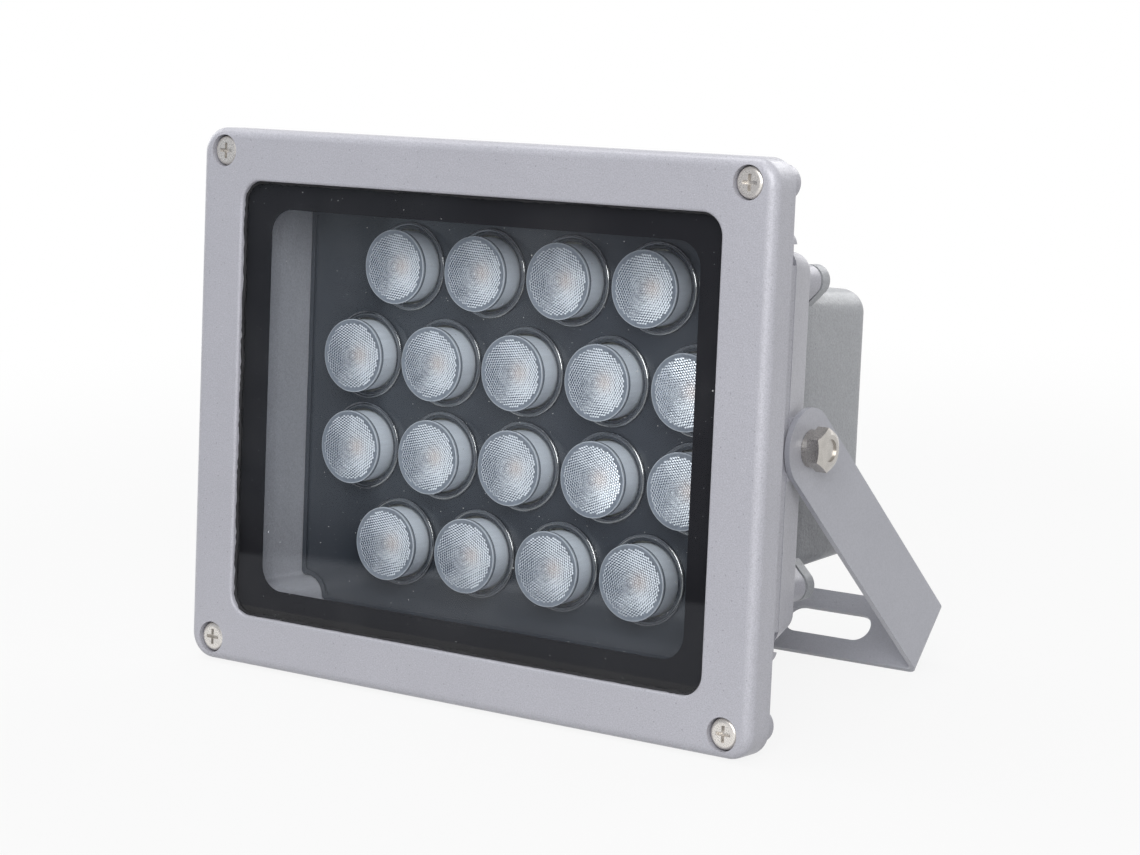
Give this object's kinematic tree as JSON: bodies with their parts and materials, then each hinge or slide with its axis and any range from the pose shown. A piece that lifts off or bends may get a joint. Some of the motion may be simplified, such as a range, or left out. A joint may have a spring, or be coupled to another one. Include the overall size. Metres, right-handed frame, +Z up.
{
  "type": "LED flood light",
  "caption": "Rectangular flood light: glazed die-cast housing with a lens array, rear driver box and cable gland, tilting on a slotted U-shaped mounting bracket.",
  "frame": {"origin": "centre of the bracket base's middle hole, at the base's outer face, which is bolted to a wall, pole arm or floor", "axes": "+X to the right as the light is seen from its front glass, +Y from the glass to the driver box, +Z up with the glass upright"},
  "size_m": [0.1844, 0.1156, 0.1468],
  "materials": {
    "silver_paint": "silver-grey powder coat with a fine texture, on die-cast aluminium",
    "box_paint": "silver-grey powder coat, sandy and matt, on die-cast aluminium",
    "bracket_paint": "silver-grey powder coat on bent steel strip",
    "clear_glass": "clear toughened glass",
    "black_rubber": "black silicone rubber",
    "dark_plate": "glossy black",
    "board_white": "white solder resist on an aluminium board",
    "board_green": "green circuit board",
    "diode_yellow": "phosphor under a clear dome",
    "stainless": "bright stainless steel",
    "transformer_core": "dark core with taped winding",
    "black_plastic": "black polyamide",
    "lens_plastic": "clear acrylic with a honeycomb face",
    "holder_plastic": "translucent grey-blue plastic"
  },
  "bodies": {
    "bracket": {"u_bracket": "bracket_paint"},
    "lamp": {"front_bezel": "silver_paint", "front_glass": "clear_glass", "glass_gasket": "black_rubber", "housing": "silver_paint", "mask_plate": "dark_plate", "led_board": "board_white", "led_emitters": "diode_yellow", "bezel_screws": "stainless", "led_board_screws": "stainless", "driver_board_screws": "stainless", "driver_cover": "box_paint", "driver_gasket": "black_rubber", "driver_screws": "stainless", "driver_board": "board_green", "transformer": "transformer_core", "capacitor": "black_plastic", "gland_body": "black_plastic", "gland_nut": "black_plastic", "gland_seal": "black_rubber", "pivot_bolts": "stainless", "spring_washers": "stainless", "lens_01": "lens_plastic", "lens_02": "lens_plastic", "lens_03": "lens_plastic", "lens_04": "lens_plastic", "lens_05": "lens_plastic", "lens_06": "lens_plastic", "lens_07": "lens_plastic", "lens_08": "lens_plastic", "lens_09": "lens_plastic", "lens_10": "lens_plastic", "lens_11": "lens_plastic", "lens_12": "lens_plastic", "lens_13": "lens_plastic", "lens_14": "lens_plastic", "lens_15": "lens_plastic", "lens_16": "lens_plastic", "lens_17": "lens_plastic", "lens_18": "lens_plastic", "lens_holder_01": "holder_plastic", "lens_holder_02": "holder_plastic", "lens_holder_03": "holder_plastic", "lens_holder_04": "holder_plastic", "lens_holder_05": "holder_plastic", "lens_holder_06": "holder_plastic", "lens_holder_07": "holder_plastic", "lens_holder_08": "holder_plastic", "lens_holder_09": "holder_plastic", "lens_holder_10": "holder_plastic", "lens_holder_11": "holder_plastic", "lens_holder_12": "holder_plastic", "lens_holder_13": "holder_plastic", "lens_holder_14": "holder_plastic", "lens_holder_15": "holder_plastic", "lens_holder_16": "holder_plastic", "lens_holder_17": "holder_plastic", "lens_holder_18": "holder_plastic"}
  },
  "joints": [
    {"name": "tilt", "type": "hinge", "parent": "bracket", "child": "lamp", "pos_m": [0, -0.0695, 0.05874], "axis": [1, 0, 0], "range_deg": [-135, 55]}
  ]
}
